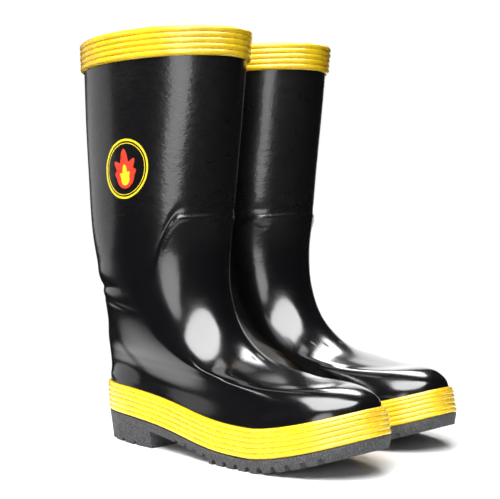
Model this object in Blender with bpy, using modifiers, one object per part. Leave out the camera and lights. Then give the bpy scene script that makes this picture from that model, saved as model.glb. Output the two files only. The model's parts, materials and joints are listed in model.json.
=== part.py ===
"""Pair of firefighter's rubber boots, standing side by side.

Each boot is built in its own frame, in millimetres: x runs forward from the back of the heel,
y runs towards the outer side of the leg, and z runs up from the floor. The outer face of the
rubber is one skin, lofted between unlike cross-sections that flow from the bottom edge of the
upper to the rim. Every sheet of the boot is a layer at its own depth under that skin.
"""

import math

import bmesh
import bpy
import numpy as np

MM = 0.001
GAP = 0.4                       # clearance between neighbouring pieces

# Where the two boots stand
HALF_SPACING = 64.2             # from the middle of the pair to a boot's centre plane
LEFT_BOOT_SETBACK = 18.0        # the left boot stands this much further back
ORIGIN_X = 122.49               # the pair's middle, along the right boot

# Sole
BALL_TOP = 10.0                 # thickness of the outsole under the ball of the foot
HEEL_RISE = 14.5                # how much higher the outsole's top face is at the heel
HEEL_RISE_X = (190.0, 40.0)     # the rise starts at the ball and is complete at the heel
TOE_LIFT = 21.5                 # toe spring: how far the tip of the sole is off the floor
TOE_LIFT_X = (203.0, 291.0)
TOE_LIFT_POWER = 1.5
SOLE_MARGIN = 2.8               # the outsole stands out from the upper by this much
SOLE_TAPER = 0.15               # the sole's side leans in by this much for each mm of height
HEEL_BREAST_X = 81.0
WAIST_END_X = 160.0
WAIST_THICKNESS = 7.0
CORE_LOW = (17.0, -17.0, 9.0)   # corners of the sponge block in the heel
CORE_HIGH = (66.0, 17.0, 22.5)

# Tread
LUG_PITCH = 12.6
LUG_GROOVE = 4.6
LUG_DEPTH = 3.8
LUG_FIRST_X = 166.0
LUG_COUNT = 9
HEEL_GROOVES_X = (22.0, 40.0, 58.0)
HEEL_GROOVE_DEPTH = 3.2
CUT_HALF_WIDTH = 80.0           # reach of the cutting shapes past the sole's sides
CUT_BELOW = 6.0                 # and under the floor

# Depths of the layers under the skin
RUBBER_FOOT = 3.0
RUBBER_LEG = 2.6
PLY = 1.6                       # steel toe cap, heel counter, reinforcing ply
LINING = 1.6
DEPTH_PLY = RUBBER_FOOT + GAP
DEPTH_LINING_FOOT = DEPTH_PLY + PLY + GAP
DEPTH_LINING_LEG = RUBBER_LEG + GAP

# Thickness of the pieces stacked on the outsole, inside the upper
FILLER = 2.6
STEEL_PLATE = 0.8
INSOLE_BOARD = 2.2
FOOTBED = 4.0
DEPTH_FLOOR = DEPTH_PLY + 0.5

# Levels of the skin: 0 is the bottom edge of the upper, 12 is the rim
LEVELS_FOOT = (0.38, 1.0, 1.4, 1.9, 2.5, 3.1, 3.6, 4.2, 4.8, 6.0, 7.2)
LEVEL_VAMP_TOP = LEVELS_FOOT[-1]
LEVEL_LEG_BOTTOM = 8.7
LEVEL_RIM = 12.0
LEVEL_BAND_BOTTOM = 11.63
LEVEL_LEG_TOP = 11.955
LEVEL_CAP_TOP = 4.8
LEVEL_COUNTER_TOP = 3.6
LEVEL_PLY_TOP = 6.0
TOE_CAP_X = 228.0               # rear edge of the steel toe cap
STRIP_X = 218.0                 # rear edge of the cushioning strip behind it
COUNTER_X = 62.0                # front edge of the heel counter
BEHIND_HEEL_X = -40.0
BEYOND_TOE_X = 320.0

FOXING_RIBS = 5
FOXING_GROOVE = 2.3
FOXING_CREST = 3.4
FOXING_LIP = 1.6                # how far its top edge stands out
FOXING_LEVELS = (0.015, 0.38, 1.0)
BAND_RIBS = 5
BAND_GROOVE = 2.2
BAND_CREST = 3.2
BAND_LIP = 1.8
BAND_LIP_GAP = 0.008            # between the leg's top edge and the lip, in levels

AROUND = 24                     # points around each cross-section

BADGE_LEVEL = 10.0
BADGE_ANGLE = math.radians(80.0)
BADGE_RADIUS = 24.0
BADGE_BASE = 0.6
BADGE_THICKNESS = 0.6

HINGE_X = 58.0                  # ankle flex line
HINGE_Z = 150.0

# Cross-sections of the skin, from the bottom edge of the upper to the rim:
# front x and z, back x and z, x of the widest place, half width outer and inner,
# fullness of the front and back ends, waist pinch outer and inner, how far it dips with the sole
SECTIONS = np.array([
    (289.0, 31.2, 3.0, 25.0, 203.0, 48.5, 49.0, 2.3, 2.6, 0.14, 0.30, 1.00),
    (284.0, 53.0, 0.0, 50.5, 203.0, 47.5, 48.0, 2.3, 2.6, 0.14, 0.30, 1.00),
    (277.5, 62.0, -1.0, 60.0, 199.0, 44.5, 45.0, 2.3, 2.5, 0.13, 0.26, 0.75),
    (260.0, 67.5, -2.0, 69.0, 183.0, 43.0, 43.5, 2.2, 2.4, 0.08, 0.16, 0.45),
    (227.0, 67.0, -3.0, 79.0, 153.0, 42.0, 41.5, 2.2, 2.4, 0.04, 0.08, 0.20),
    (180.0, 74.5, -3.5, 91.5, 115.0, 42.0, 40.5, 2.1, 2.3, 0.00, 0.00, 0.05),
    (144.5, 96.5, -3.5, 110.0, 87.0, 45.0, 42.5, 2.0, 2.1, 0.00, 0.00, 0.00),
    (125.5, 129.0, -5.5, 129.0, 72.0, 48.5, 45.0, 2.0, 2.0, 0.00, 0.00, 0.00),
    (122.0, 164.0, -10.5, 154.0, 62.0, 51.5, 49.0, 2.0, 2.0, 0.00, 0.00, 0.00),
    (126.0, 203.0, -16.0, 182.0, 58.0, 55.0, 53.0, 2.0, 2.0, 0.00, 0.00, 0.00),
    (131.0, 244.0, -19.5, 230.0, 56.0, 56.5, 56.0, 2.0, 2.0, 0.00, 0.00, 0.00),
    (137.0, 291.0, -23.0, 284.0, 56.0, 58.0, 57.5, 2.0, 2.0, 0.00, 0.00, 0.00),
    (144.0, 357.0, -25.8, 350.0, 59.0, 60.0, 59.5, 2.0, 2.0, 0.00, 0.00, 0.00),
])
PINCH_X = 104.0                 # the foot is narrowest here, under the arch
PINCH_LENGTH = 47.0
TOE_TURN = 6.0                  # the toe turns towards the inner side by this much
TOE_TURN_X = (208.0, 302.0)

MATERIALS = {
    "black_rubber": ((0.012, 0.012, 0.014), 0.16, 0.0),
    "yellow_rubber": ((0.95, 0.68, 0.02), 0.35, 0.0),
    "sole_rubber": ((0.055, 0.055, 0.06), 0.7, 0.0),
    "lining_fabric": ((0.62, 0.60, 0.55), 0.9, 0.0),
    "ply_canvas": ((0.30, 0.28, 0.24), 0.85, 0.0),
    "steel": ((0.62, 0.63, 0.65), 0.3, 1.0),
    "fibre_board": ((0.45, 0.33, 0.2), 0.8, 0.0),
    "foam": ((0.2, 0.22, 0.25), 0.9, 0.0),
    "badge_print": ((0.8, 0.1, 0.05), 0.4, 0.0),
}


# ---------------------------------------------------------------- shape of the skin

def ramp(x, start, end):
    return np.clip((x - start) / (end - start), 0.0, 1.1)


def toe_lift(x):
    return TOE_LIFT * ramp(x, *TOE_LIFT_X) ** TOE_LIFT_POWER


def sole_top(x):
    """Height of the outsole's top face."""
    t = np.minimum(ramp(x, *HEEL_RISE_X), 1.0)
    return BALL_TOP + HEEL_RISE * t * t * (3.0 - 2.0 * t) + toe_lift(x)


def section_at(level):
    """Cross-section at any level, by a smooth curve through the listed ones."""
    last = len(SECTIONS) - 1
    i = min(int(level), last - 1)
    t = level - i
    p0, p1, p2, p3 = (SECTIONS[min(max(k, 0), last)] for k in (i - 1, i, i + 1, i + 2))
    slope1 = (p2 - p0) * (0.5 if i > 0 else 1.0)
    slope2 = (p3 - p1) * (0.5 if i + 2 <= last else 1.0)
    return (p1 * (2 * t**3 - 3 * t**2 + 1) + slope1 * (t**3 - 2 * t**2 + t)
            + p2 * (3 * t**2 - 2 * t**3) + slope2 * (t**3 - t**2))


def skin_points(level, angles):
    """Points of the outer face at one level. Angle 0 is the front, 90 degrees the outer side."""
    (front, front_z, back, back_z, mid, outer, inner,
     nose, heel, pinch_outer, pinch_inner, dip) = section_at(level)
    c = np.cos(angles)
    s = np.sin(angles)
    x = np.where(c >= 0.0,
                 mid + (front - mid) * np.abs(c) ** (2.0 / nose),
                 mid - (mid - back) * np.abs(c) ** (2.0 / heel))
    power = 2.0 / (0.5 * (nose + heel) + 0.5 * (nose - heel) * c)
    waist = np.exp(-((x - PINCH_X) / PINCH_LENGTH) ** 2)
    y = np.where(s >= 0.0,
                 outer * np.abs(s) ** power * (1.0 - pinch_outer * waist),
                 -inner * np.abs(s) ** power * (1.0 - pinch_inner * waist))
    y = y - TOE_TURN * np.clip(ramp(x, *TOE_TURN_X), 0.0, 1.0) ** 1.5
    along = (x - back) / (front - back)
    sole_chord = sole_top(back) + (sole_top(front) - sole_top(back)) * along
    z = back_z + (front_z - back_z) * along + dip * (sole_top(x) - sole_chord)
    return np.stack([x, y, z], axis=1)


def layer(level, angles, depth):
    """Points at a depth under the skin, measured square to it. A negative depth stands proud."""
    step = 0.02
    turn = 0.004
    low = max(level - step, 0.0)
    high = min(level + step, LEVEL_RIM)
    here = skin_points(level, angles)
    up = skin_points(high, angles) - skin_points(low, angles)
    around = skin_points(level, angles + turn) - skin_points(level, angles - turn)
    normal = np.cross(around, up)
    normal /= np.linalg.norm(normal, axis=1)[:, None]
    return here - depth * normal


ANGLES = np.arange(AROUND) * 2.0 * math.pi / AROUND


# ---------------------------------------------------------------- building in Blender

def clear_scene():
    for item in list(bpy.data.objects):
        bpy.data.objects.remove(item, do_unlink=True)


def new_collection(name):
    collection = bpy.data.collections.new(name)
    bpy.context.scene.collection.children.link(collection)
    return collection


def make_materials():
    made = {}
    for name, (color, roughness, metallic) in MATERIALS.items():
        material = bpy.data.materials.new(name)
        material.use_nodes = True
        shader = material.node_tree.nodes["Principled BSDF"]
        shader.inputs["Base Color"].default_value = (*color, 1.0)
        shader.inputs["Roughness"].default_value = roughness
        shader.inputs["Metallic"].default_value = metallic
        made[name] = material
    return made


class Boot:
    """One boot: side is +1 for the left boot and -1 for the right one, which is its mirror."""

    def __init__(self, name, side, setback, parts, cutters, materials):
        self.name = name
        self.side = side
        self.parts = parts
        self.cutters = cutters
        self.materials = materials
        self.foot = self.empty("foot", (0.0, 0.0, 0.0))
        self.foot.location = (-(ORIGIN_X + setback) * MM, side * HALF_SPACING * MM, 0.0)
        self.leg = self.empty("leg", (HINGE_X, 0.0, HINGE_Z))
        self.leg.parent = self.foot

    def empty(self, label, place):
        item = bpy.data.objects.new(f"{self.name}_{label}_frame", None)
        item.location = [v * MM for v in place]
        self.cutters.objects.link(item)
        return item

    def add(self, label, points, faces, material=None, on_leg=False, cutter=False):
        """A mesh object from points in the boot's frame, turned outwards on either side."""
        origin = np.array([HINGE_X, 0.0, HINGE_Z]) if on_leg else np.zeros(3)
        local = (np.asarray(points) - origin) * MM
        local[:, 1] *= self.side
        mesh = bpy.data.meshes.new(f"{self.name}_{label}")
        mesh.from_pydata(local.tolist(), [], faces)
        bm = bmesh.new()
        bm.from_mesh(mesh)
        bmesh.ops.recalc_face_normals(bm, faces=bm.faces)
        bm.to_mesh(mesh)
        bm.free()
        item = bpy.data.objects.new(f"{self.name}_{label}", mesh)
        item.parent = self.leg if on_leg else self.foot
        if cutter:
            item.hide_render = True
            item.display_type = "WIRE"
            self.cutters.objects.link(item)
            return item
        mesh.materials.append(self.materials[material])
        mesh.shade_smooth()
        mesh.set_sharp_from_angle(angle=math.radians(40.0))
        self.parts.objects.link(item)
        return item


def ring_faces(heights, closed_section=True):
    """Triangles between neighbouring rows of points that each go once around.

    Every layer splits its quads along the same diagonal, from the lower row to the higher one,
    so facing layers stay parallel.
    """
    rows = len(heights)
    faces = []
    for i in range(rows if closed_section else rows - 1):
        below = i
        above = (i + 1) % rows
        flipped = heights[above] < heights[below]
        if flipped:
            below, above = above, below
        for j in range(AROUND):
            k = (j + 1) % AROUND
            low = (below * AROUND + j, below * AROUND + k)
            high = (above * AROUND + j, above * AROUND + k)
            for triangle in ((low[0], low[1], high[1]), (low[0], high[1], high[0])):
                faces.append(triangle[::-1] if flipped else triangle)
    return faces


def add_sheet(boot, label, levels, depth, thickness, material, on_leg=False):
    """A sheet of the upper: the open loft at its outer depth, made solid inwards."""
    outside = [layer(level, ANGLES, depth) for level in levels]
    inside = [layer(level, ANGLES, depth + thickness) for level in reversed(levels)]
    faces = ring_faces([*levels, *reversed(levels)])
    return boot.add(label, np.concatenate(outside + inside), faces, material, on_leg)


def add_band(boot, label, section, material, on_leg=False):
    """A band around the boot, from its section: level and how far it stands out."""
    rows = [layer(level, ANGLES, -proud) for level, proud in section]
    faces = ring_faces([level for level, _ in section])
    return boot.add(label, np.concatenate(rows), faces, material, on_leg)


def plate_mesh(outline_top, outline_bottom):
    """A plate between two outlines, filled by strips from side to side."""
    count = len(outline_top)
    points = np.concatenate([outline_bottom, outline_top])
    faces = ring_faces((0, 1), closed_section=False)
    for base in (0, count):
        faces.append((base, base + 1, base + count - 1))
        for j in range(1, count // 2 - 1):
            left = (base + j, base + j + 1)
            right = (base + count - j - 1, base + count - j)
            faces.append((left[0], left[1], right[0], right[1]))
        middle = base + count // 2
        faces.append((middle - 1, middle, middle + 1))
    return points, faces


def floor_outline(depth, level, height):
    """Outline inside the upper, lying at a height above the outsole's top face."""
    points = layer(level, ANGLES, depth)
    points[:, 2] = sole_top(points[:, 0]) + height
    return points


def add_floor_piece(boot, label, depth, level, bottom, thickness, material):
    points, faces = plate_mesh(floor_outline(depth, level, bottom + thickness),
                               floor_outline(depth, level, bottom))
    return boot.add(label, points, faces, material)


def box_mesh(low, high):
    x0, y0, z0 = low
    x1, y1, z1 = high
    bottom = [(x0, y0, z0), (x1, y0, z0), (x1, y1, z0), (x0, y1, z0)]
    top = [(x, y, z1) for x, y, _ in bottom]
    faces = [(0, 3, 2, 1), (4, 5, 6, 7), (0, 1, 5, 4), (1, 2, 6, 5), (2, 3, 7, 6), (3, 0, 4, 7)]
    return np.array(bottom + top), faces


def join_meshes(pieces):
    points = []
    faces = []
    base = 0
    for piece_points, piece_faces in pieces:
        points.append(piece_points)
        faces.extend(tuple(base + i for i in face) for face in piece_faces)
        base += len(piece_points)
    return np.concatenate(points), faces


def cut(target, cutter, operation):
    modifier = target.modifiers.new(cutter.name, "BOOLEAN")
    modifier.operation = operation
    modifier.solver = "EXACT"
    modifier.object = cutter


# ---------------------------------------------------------------- sole

def tread_cutters():
    """Bars that cut the tread: across the forefoot, following the toe spring, and the heel."""
    bars = []
    for i in range(LUG_COUNT):
        x = LUG_FIRST_X + i * LUG_PITCH
        points, faces = box_mesh((-0.5 * LUG_GROOVE, -CUT_HALF_WIDTH, -CUT_BELOW),
                                 (0.5 * LUG_GROOVE, CUT_HALF_WIDTH, LUG_DEPTH))
        slope = math.atan2(toe_lift(x + 1.0) - toe_lift(x - 1.0), 2.0)
        turned = points.copy()
        turned[:, 0] = x + points[:, 0] * math.cos(slope) - points[:, 2] * math.sin(slope)
        turned[:, 2] = toe_lift(x) + points[:, 0] * math.sin(slope) + points[:, 2] * math.cos(slope)
        bars.append((turned, faces))
    for x in HEEL_GROOVES_X:
        bars.append(box_mesh((x - 0.5 * LUG_GROOVE, -CUT_HALF_WIDTH, -CUT_BELOW),
                             (x + 0.5 * LUG_GROOVE, CUT_HALF_WIDTH, HEEL_GROOVE_DEPTH)))
    return join_meshes(bars)


def waist_cutter():
    """The space under the arch, between the heel breast and the forefoot."""
    stations = np.linspace(HEEL_BREAST_X, WAIST_END_X, 9)
    roof = np.maximum(sole_top(stations) - WAIST_THICKNESS, 0.0)
    profile = [(stations[0], -CUT_BELOW)]
    profile += [(x, z) for x, z in zip(stations, roof)]
    profile.append((stations[-1], -CUT_BELOW))
    count = len(profile)
    points = [(x, y, z) for y in (-CUT_HALF_WIDTH, CUT_HALF_WIDTH) for x, z in profile]
    faces = [tuple(range(count)), tuple(range(2 * count - 1, count - 1, -1))]
    for i in range(count):
        k = (i + 1) % count
        faces.append((i, i + count, k + count, k))
    return np.array(points), faces



def add_outsole(boot):
    top = layer(0.0, ANGLES, -SOLE_MARGIN)
    top[:, 2] = sole_top(top[:, 0])
    bottom_z = toe_lift(top[:, 0])
    inset = SOLE_TAPER * (top[:, 2] - bottom_z)
    centre = np.stack([np.clip(top[:, 0], 60.0, 240.0), np.zeros(AROUND), top[:, 2]], axis=1)
    inwards = centre - top
    inwards /= np.linalg.norm(inwards, axis=1)[:, None]
    bottom = top + inwards * inset[:, None]
    bottom[:, 2] = bottom_z
    points, faces = plate_mesh(top, bottom)
    outsole = boot.add("outsole", points, faces, "sole_rubber")
    waist = boot.add("waist_cutter", *waist_cutter(), cutter=True)
    tread = boot.add("tread_cutter", *tread_cutters(), cutter=True)
    pocket_low = [v - GAP for v in CORE_LOW]
    pocket_high = [CORE_HIGH[0] + GAP, CORE_HIGH[1] + GAP, 40.0]
    pocket = boot.add("core_pocket_cutter", *box_mesh(pocket_low, pocket_high), cutter=True)
    for cutter in (waist, tread, pocket):
        cut(outsole, cutter, "DIFFERENCE")
    return outsole


def add_heel_core(boot):
    low = list(CORE_LOW)
    high = [CORE_HIGH[0], CORE_HIGH[1], CORE_HIGH[2] - GAP]
    core = boot.add("heel_core", *box_mesh(low, high), "foam")
    bevel = core.modifiers.new("rounded_edges", "BEVEL")
    bevel.width = 2.0 * MM
    bevel.segments = 1
    return core


def add_floor_stack(boot):
    height = GAP
    add_floor_piece(boot, "midsole_filler", DEPTH_FLOOR, 0.1, height, FILLER, "foam")
    height += FILLER + GAP
    add_floor_piece(boot, "steel_midsole", DEPTH_FLOOR, 0.2, height, STEEL_PLATE, "steel")
    height += STEEL_PLATE + GAP
    add_floor_piece(boot, "insole_board", DEPTH_FLOOR, 0.3, height, INSOLE_BOARD, "fibre_board")
    height += INSOLE_BOARD + GAP
    inset = DEPTH_LINING_FOOT + LINING + GAP
    add_floor_piece(boot, "footbed", inset, 0.5, height, FOOTBED, "foam")


# ---------------------------------------------------------------- upper

def add_ply_piece(boot, label, x_range, top_level, material):
    """A part of the reinforcing layer, cut from a full sheet between two planes."""
    levels = [level for level in LEVELS_FOOT if level <= top_level]
    piece = add_sheet(boot, label, levels, DEPTH_PLY, PLY, material)
    box = box_mesh((x_range[0], -CUT_HALF_WIDTH, -CUT_BELOW), (x_range[1], CUT_HALF_WIDTH, HINGE_Z))
    cut(piece, boot.add(label + "_cutter", *box, cutter=True), "INTERSECT")
    return piece


def add_foot(boot):
    add_sheet(boot, "vamp_upper", (0.0, *LEVELS_FOOT), 0.0, RUBBER_FOOT, "black_rubber")
    add_ply_piece(boot, "steel_toe_cap", (TOE_CAP_X, BEYOND_TOE_X), LEVEL_CAP_TOP, "steel")
    add_ply_piece(boot, "toe_cap_strip", (STRIP_X, TOE_CAP_X - GAP), LEVEL_CAP_TOP, "foam")
    add_ply_piece(boot, "vamp_ply", (COUNTER_X + GAP, STRIP_X - GAP), LEVEL_PLY_TOP, "ply_canvas")
    add_ply_piece(boot, "heel_counter", (BEHIND_HEEL_X, COUNTER_X), LEVEL_COUNTER_TOP, "fibre_board")
    add_sheet(boot, "lining_foot", LEVELS_FOOT, DEPTH_LINING_FOOT, LINING, "lining_fabric")


def foxing_section():
    bottom, middle, top = FOXING_LEVELS
    section = [(bottom, GAP), (bottom, FOXING_GROOVE)]
    for i in range(FOXING_RIBS):
        section.append(((i + 0.5) / FOXING_RIBS, FOXING_CREST))
        if i < FOXING_RIBS - 1:
            section.append(((i + 1.0) / FOXING_RIBS, FOXING_GROOVE))
    section += [(top, FOXING_LIP), (top, GAP), (middle, GAP)]
    return section


def band_section():
    height = LEVEL_RIM - LEVEL_BAND_BOTTOM
    section = [(LEVEL_BAND_BOTTOM, GAP), (LEVEL_BAND_BOTTOM, BAND_GROOVE)]
    for i in range(BAND_RIBS):
        section.append((LEVEL_BAND_BOTTOM + height * (i + 0.5) / BAND_RIBS, BAND_CREST))
        if i < BAND_RIBS - 1:
            section.append((LEVEL_BAND_BOTTOM + height * (i + 1.0) / BAND_RIBS, BAND_GROOVE))
    inside = -(DEPTH_LINING_LEG + LINING)
    lip = LEVEL_LEG_TOP + BAND_LIP_GAP
    section += [(LEVEL_RIM, BAND_LIP), (LEVEL_RIM, inside), (lip, inside), (lip, GAP)]
    return section


def add_leg(boot):
    flex_levels = [LEVEL_VAMP_TOP + 0.03, 7.95, LEVEL_LEG_BOTTOM - 0.03]
    leg_levels = [LEVEL_LEG_BOTTOM, 10.1, LEVEL_BAND_BOTTOM, LEVEL_LEG_TOP]
    add_sheet(boot, "ankle_upper", flex_levels, 0.0, RUBBER_LEG, "black_rubber")
    add_sheet(boot, "lining_ankle", flex_levels, DEPTH_LINING_LEG, LINING, "lining_fabric")
    add_sheet(boot, "shaft_upper", leg_levels, 0.0, RUBBER_LEG, "black_rubber", on_leg=True)
    add_sheet(boot, "lining_shaft", leg_levels, DEPTH_LINING_LEG, LINING, "lining_fabric",
              on_leg=True)
    add_band(boot, "top_band", band_section(), "yellow_rubber", on_leg=True)
    add_badge(boot)


def badge_point(radius, angle, proud):
    """A point on the outer side of the leg, at a distance and direction from the badge's centre."""
    level_height = 43.0
    half_width = 74.0
    level = BADGE_LEVEL + radius * math.sin(angle) / level_height
    turn = BADGE_ANGLE - radius * math.cos(angle) / half_width
    return layer(level, np.array([turn]), -proud)[0]


def add_badge(boot):
    spokes = 24
    radii = (BADGE_RADIUS, 0.5 * BADGE_RADIUS)
    points = []
    faces = []
    for proud in (BADGE_BASE, BADGE_BASE + BADGE_THICKNESS):
        for radius in radii:
            points += [badge_point(radius, 2.0 * math.pi * i / spokes, proud) for i in range(spokes)]
        points.append(badge_point(0.0, 0.0, proud))
    face_count = len(radii) * spokes + 1
    for base in (0, face_count):
        centre = base + face_count - 1
        for i in range(spokes):
            k = (i + 1) % spokes
            faces.append((base + i, base + k, base + spokes + k, base + spokes + i))
            faces.append((base + spokes + i, base + spokes + k, centre))
    for i in range(spokes):
        k = (i + 1) % spokes
        faces.append((i, k, face_count + k, face_count + i))
    boot.add("badge", np.array(points), faces, "badge_print", on_leg=True)


def build_boot(name, side, setback, parts, cutters, materials):
    boot = Boot(name, side, setback, parts, cutters, materials)
    add_outsole(boot)
    add_heel_core(boot)
    add_floor_stack(boot)
    add_foot(boot)
    add_band(boot, "foxing_band", foxing_section(), "yellow_rubber")
    add_leg(boot)


def main():
    clear_scene()
    parts = new_collection("fire_boots")
    cutters = new_collection("cutters_and_frames")
    materials = make_materials()
    build_boot("right", -1, 0.0, parts, cutters, materials)
    build_boot("left", 1, LEFT_BOOT_SETBACK, parts, cutters, materials)


main()
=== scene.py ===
"""Looks of a pair of firefighter's rubber boots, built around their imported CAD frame.

Shapes are worked out in each boot's own frame, in millimetres: x runs forward from the heel,
y towards the outer side, z up. The rubber follows one smooth skin, and each piece is a layer
at its own depth under it.
"""

import json
import math

import bmesh
import bpy
import numpy as np
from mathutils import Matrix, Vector


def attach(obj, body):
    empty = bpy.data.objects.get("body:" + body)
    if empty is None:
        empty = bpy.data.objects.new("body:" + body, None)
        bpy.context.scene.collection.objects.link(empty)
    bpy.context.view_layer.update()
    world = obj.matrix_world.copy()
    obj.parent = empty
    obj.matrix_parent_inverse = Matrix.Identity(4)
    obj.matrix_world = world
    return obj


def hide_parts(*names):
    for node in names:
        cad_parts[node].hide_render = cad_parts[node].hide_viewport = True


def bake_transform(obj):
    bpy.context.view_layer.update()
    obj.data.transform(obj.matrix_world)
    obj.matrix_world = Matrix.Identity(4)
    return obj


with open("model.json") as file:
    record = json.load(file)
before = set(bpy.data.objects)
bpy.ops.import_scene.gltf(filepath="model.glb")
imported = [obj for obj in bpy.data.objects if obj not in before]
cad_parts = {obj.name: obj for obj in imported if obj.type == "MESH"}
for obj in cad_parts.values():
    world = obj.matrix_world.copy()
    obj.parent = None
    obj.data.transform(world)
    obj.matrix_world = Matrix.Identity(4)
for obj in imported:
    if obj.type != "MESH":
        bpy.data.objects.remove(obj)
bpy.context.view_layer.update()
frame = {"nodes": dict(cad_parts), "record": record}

MM = 0.001

# ---------------------------------------------------------------- dimensions

HEEL_REST_X = 49.0              # the heel mount's place along a boot

BALL_TOP = 10.0
HEEL_RISE = 14.5
HEEL_RISE_X = (190.0, 40.0)
TOE_LIFT = 21.5
TOE_LIFT_X = (203.0, 291.0)
TOE_LIFT_POWER = 1.5
SOLE_MARGIN = 2.8
SOLE_TAPER = 0.15
HEEL_BREAST_X = 81.0
WAIST_END_X = 160.0
WAIST_THICKNESS = 7.0

LUG_PITCH = 12.6
LUG_GROOVE = 4.6
LUG_FLARE = 1.6                 # a groove is this much wider at the floor
LUG_DEPTH = 4.4
LUG_FIRST_X = 166.0
LUG_COUNT = 9
ARCH_LUG_COUNT = 4
ARCH_LUG_DEPTH = 2.4
HEEL_GROOVES_X = (22.0, 40.0, 58.0)
HEEL_GROOVE_DEPTH = 3.2
SOLE_EDGE = 0.5                 # rounding of the sole's edges
SOLE_RAISE = 0.3                # closes the joint under the upper
SOLE_SHARP_ANGLE = 35.0
CUTTER_REACH = 80.0             # the tread's cutters run this far to each side
CUTTER_BOTTOM = -6.0

GAP = 0.4
RUBBER_FOOT = 3.0
RUBBER_LEG = 2.6
LINING = 1.6
DEPTH_LINING_FOOT = 5.4
DEPTH_LINING_LEG = RUBBER_LEG + GAP
FOOTBED_BOTTOM = 7.6            # height over the outsole's top face
FOOTBED = 4.0
FOOTBED_CUP = 2.2               # how far the footbed's rim turns up at the heel
FOOTBED_CUP_X = (60.0, 140.0)
FOOTBED_ROUNDING = 0.9
FOOTBED_LEVEL = 0.5

LEVEL_RIM = 12.0
LEVEL_BAND_BOTTOM = 11.63
LEVEL_LEG_TOP = 11.955
LEVEL_LINING_BOTTOM = 0.42
DEPTH_CHANGE = (6.3, 8.3)       # levels between which foot depths turn into leg depths
FLEX_X = 58.0

FOXING_RIBS = 6
FOXING_GROOVE = 2.2
FOXING_CREST = 3.4
FOXING_BOTTOM = 0.015           # levels of its bottom edge, first rib, inner edge and top
FOXING_RIBS_BOTTOM = 0.03
FOXING_INNER_BOTTOM = 0.38
FOXING_TOP = 1.0
FOXING_LIP = 0.9
FOXING_LEAN = 0.35              # share by which the ribs sink towards the top edge
FOXING_LEAN_FROM = 0.78
BAND_RIBS = 5
BAND_GROOVE = 2.1
BAND_CREST = 3.2
BAND_LIP = 1.9                  # the rolled edge over the rim: how far it stands out,
BAND_ROLL = 0.02                # and its height in levels
BAND_GAP = 0.008                # in levels
EDGE_TUCK = 0.6                 # share of a groove's height at a band's bottom edge
RIB_WOBBLE = 0.16

BADGE_LEVEL = 10.0
BADGE_ANGLE = math.radians(80.0)
BADGE_MM_PER_LEVEL = 43.0
BADGE_MM_PER_RADIAN = 74.0
RING_RADIUS = 23.4
RING_WIDTH = 1.7
INNER_RING_GAP = 3.0
INNER_RING_WIDTH = 0.6
FLAME_CENTRE = (0.0, -5.5)
SMALL_FLAME_CENTRE = (0.0, -8.0)
PRINT_LOW = -0.1
PRINT_HIGH = 0.16
PRINT_SECOND = 0.1              # a second colour lies this much higher

AROUND = 224                    # points around each layer

# Cross-sections of the skin, from the bottom edge of the upper to the rim:
# front x and z, back x and z, x of the widest place, half width outer and inner,
# fullness of the front and back ends, waist pinch outer and inner, how far it dips with the sole
SECTIONS = np.array([
    (289.0, 31.2, 3.0, 25.0, 203.0, 48.5, 49.0, 2.3, 2.6, 0.14, 0.30, 1.00),
    (284.0, 53.0, 0.0, 50.5, 203.0, 47.5, 48.0, 2.3, 2.6, 0.14, 0.30, 1.00),
    (277.5, 62.0, -1.0, 60.0, 199.0, 44.5, 45.0, 2.3, 2.5, 0.13, 0.26, 0.75),
    (260.0, 67.5, -2.0, 69.0, 183.0, 43.0, 43.5, 2.2, 2.4, 0.08, 0.16, 0.45),
    (227.0, 67.0, -3.0, 79.0, 153.0, 42.0, 41.5, 2.2, 2.4, 0.04, 0.08, 0.20),
    (180.0, 74.5, -3.5, 91.5, 115.0, 42.0, 40.5, 2.1, 2.3, 0.00, 0.00, 0.05),
    (144.5, 96.5, -3.5, 110.0, 87.0, 45.0, 42.5, 2.0, 2.1, 0.00, 0.00, 0.00),
    (125.5, 129.0, -5.5, 129.0, 72.0, 48.5, 45.0, 2.0, 2.0, 0.00, 0.00, 0.00),
    (122.0, 164.0, -10.5, 154.0, 62.0, 51.5, 49.0, 2.0, 2.0, 0.00, 0.00, 0.00),
    (126.0, 203.0, -16.0, 182.0, 58.0, 55.0, 53.0, 2.0, 2.0, 0.00, 0.00, 0.00),
    (131.0, 244.0, -19.5, 230.0, 56.0, 56.5, 56.0, 2.0, 2.0, 0.00, 0.00, 0.00),
    (137.0, 291.0, -23.0, 284.0, 56.0, 58.0, 57.5, 2.0, 2.0, 0.00, 0.00, 0.00),
    (144.0, 357.0, -25.8, 350.0, 59.0, 60.0, 59.5, 2.0, 2.0, 0.00, 0.00, 0.00),
])
PINCH_X = 104.0
PINCH_LENGTH = 47.0
TOE_TURN = 6.0
TOE_TURN_X = (208.0, 302.0)

# Relief of the rubber, in millimetres, degrees and levels
EDGE_FRONT = 8.93               # edge of the thicker rubber that covers the foot and ankle
EDGE_SIDE = 7.05
EDGE_BACK = 7.3
EDGE_TURN_OUTER = (36.0, 80.0)
EDGE_TURN_INNER = (52.0, 96.0)
EDGE_RISE = (104.0, 140.0)
EDGE_STEP = 0.5
EDGE_STEP_FRONT = 0.45
EDGE_SHARP = 0.045              # the edge is crisp in front, in levels,
EDGE_SOFT = 0.26                # and melts into the leg at the sides
EDGE_FADE = 0.9
EDGE_FRONT_WIDTH = 38.0
EDGE_SOFTENS = (46.0, 70.0)
FOLD_ANGLE = 44.0               # pinched fold where that edge turns down
FOLD_WIDTH = 10.0
FOLD_HEIGHT = 1.5
KINK_DEPTH = 1.3                # crease across the back of the ankle
KINK_LEVEL = 7.28
KINK_STARTS = (98.0, 132.0)
KINK_ROLL = 0.9                 # soft roll over the crease
COUNTER_ANGLE = 126.0           # front edge of the stiffener in the heel
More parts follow.
